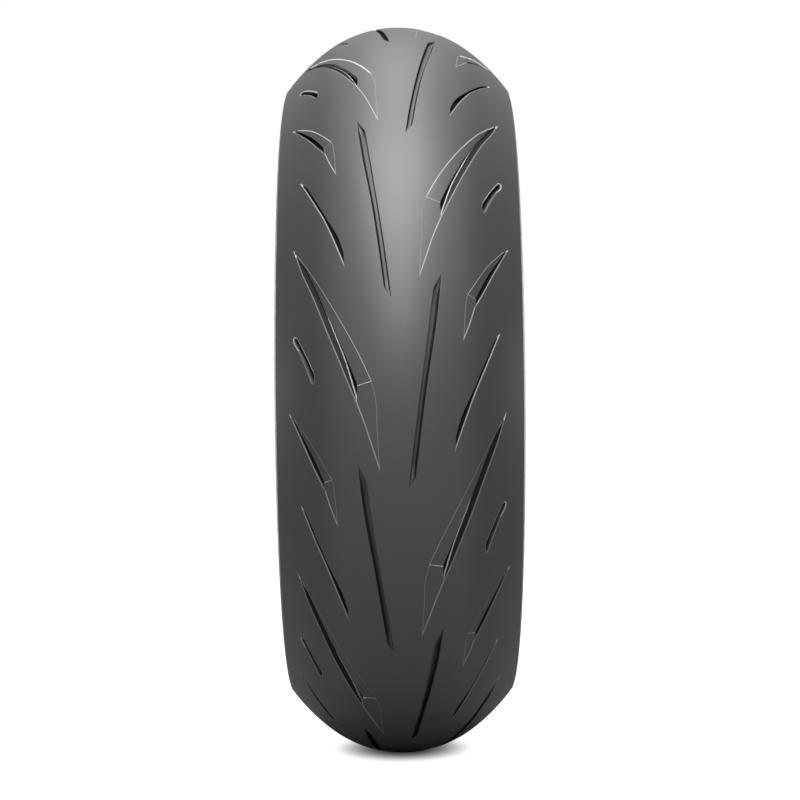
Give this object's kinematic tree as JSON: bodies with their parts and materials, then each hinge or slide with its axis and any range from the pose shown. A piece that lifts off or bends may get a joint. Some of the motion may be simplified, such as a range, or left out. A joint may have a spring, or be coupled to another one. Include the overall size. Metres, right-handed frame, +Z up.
{
  "type": "motorcycle tyre",
  "caption": "Wide radial motorcycle rear tyre with a rounded tread of winged grooves, steel belt, fabric carcass, wire beads and an open air chamber.",
  "frame": {"origin": "centre of the wheel: on the axle line, in the middle plane of the tread", "axes": "+Y along the axle, towards the tyre's right side; +Z up; +X in the direction of the tread face that the reference view shows"},
  "size_m": [0.64, 0.1948, 0.64],
  "materials": {
    "tread_rubber": "fresh moulded tread rubber, satin",
    "sidewall_rubber": "moulded sidewall rubber, satin",
    "base_rubber": "cured rubber, matte",
    "hard_rubber": "hard rubber, smooth",
    "liner_rubber": "smooth airtight liner",
    "ply_fabric": "rubber-coated textile cord",
    "chafer_fabric": "rubber-coated square-woven fabric",
    "steel_cord": "brass-coated steel cord",
    "bead_steel": "bronze-coated bead wire"
  },
  "bodies": {
    "root": {"tread_cap_centre": "tread_rubber", "tread_cap_left": "tread_rubber", "tread_cap_right": "tread_rubber", "tread_base": "base_rubber", "belt_cord": "steel_cord", "belt_skim": "base_rubber", "belt_edge_strip_left": "base_rubber", "belt_edge_strip_right": "base_rubber", "carcass_ply_outer": "ply_fabric", "carcass_ply_inner": "ply_fabric", "inner_liner": "liner_rubber", "sidewall_left": "sidewall_rubber", "sidewall_right": "sidewall_rubber", "bead_wires_left": "bead_steel", "bead_wires_right": "bead_steel", "bead_wrap_left": "ply_fabric", "bead_wrap_right": "ply_fabric", "bead_filler_left": "hard_rubber", "bead_filler_right": "hard_rubber", "chafer_left": "chafer_fabric", "chafer_right": "chafer_fabric", "rim_cushion_left": "hard_rubber", "rim_cushion_right": "hard_rubber"}
  },
  "joints": []
}
